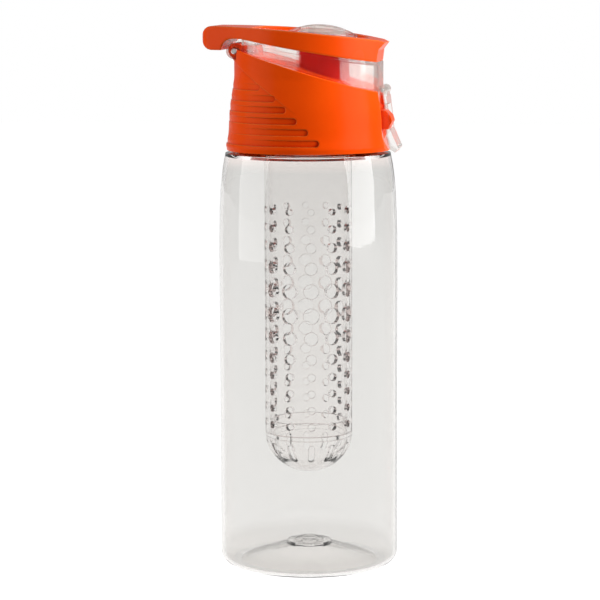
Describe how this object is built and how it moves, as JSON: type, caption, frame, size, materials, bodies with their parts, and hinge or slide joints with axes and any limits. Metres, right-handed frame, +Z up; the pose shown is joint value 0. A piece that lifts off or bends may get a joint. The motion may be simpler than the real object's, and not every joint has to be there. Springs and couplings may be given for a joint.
{
  "type": "fruit infuser water bottle",
  "caption": "Clear drinking bottle with a perforated fruit infuser, a screw cap with grip slots and a latched clear flip lid over the spout.",
  "frame": {"origin": "centre of the base, on the surface that the bottle stands on", "axes": "+Z up along the bottle, +X towards the latch, -X towards the lid's hinge"},
  "size_m": [0.0796, 0.073, 0.2212],
  "materials": {
    "clear_body": "clear polished copolyester",
    "clear_cap": "clear polished polycarbonate",
    "orange_plastic": "satin moulded polypropylene",
    "silicone": "matt translucent silicone",
    "steel": "drawn stainless wire"
  },
  "bodies": {
    "bottle": {"bottle_body": "clear_body"},
    "seal_ring": {"neck_gasket": "silicone"},
    "cap": {"thread_insert": "orange_plastic", "cap_collar": "orange_plastic", "drinking_spout": "orange_plastic"},
    "lid": {"flip_lid": "clear_cap", "top_frame": "orange_plastic", "spout_seal": "silicone", "hinge_pin": "steel", "latch_pin": "steel"},
    "latch": {"latch": "clear_cap"},
    "infuser": {"infuser_tube": "clear_body", "infuser_gasket": "silicone"},
    "infuser_end": {"infuser_end_cap": "clear_body"}
  },
  "joints": [
    {"name": "cap_turn", "type": "hinge", "parent": "bottle", "child": "seal_ring", "pos_m": [0, 0, 0.17], "axis": [0, 0, 1], "range_deg": [0, 500]},
    {"name": "cap_rise", "type": "slide", "parent": "seal_ring", "child": "cap", "axis": [0, 0, 1], "range_m": [0, 0.00695]},
    {"name": "lid_flip", "type": "hinge", "parent": "cap", "child": "lid", "pos_m": [-0.028, 0, 0.2108], "axis": [0, -1, 0], "range_deg": [0, 70]},
    {"name": "latch_swing", "type": "hinge", "parent": "lid", "child": "latch", "pos_m": [0.0311, 0, 0.195], "axis": [0, -1, 0], "range_deg": [0, 110]},
    {"name": "infuser_pull", "type": "slide", "parent": "cap", "child": "infuser", "axis": [0, 0, -1], "range_m": [0, 0.013]},
    {"name": "infuser_end_pull", "type": "slide", "parent": "infuser", "child": "infuser_end", "axis": [0, 0, -1], "range_m": [0, 0.012]}
  ],
  "couplings": [
    {"joint": "cap_rise", "follows": "cap_turn", "m_per_rad": 0.00079577}
  ]
}
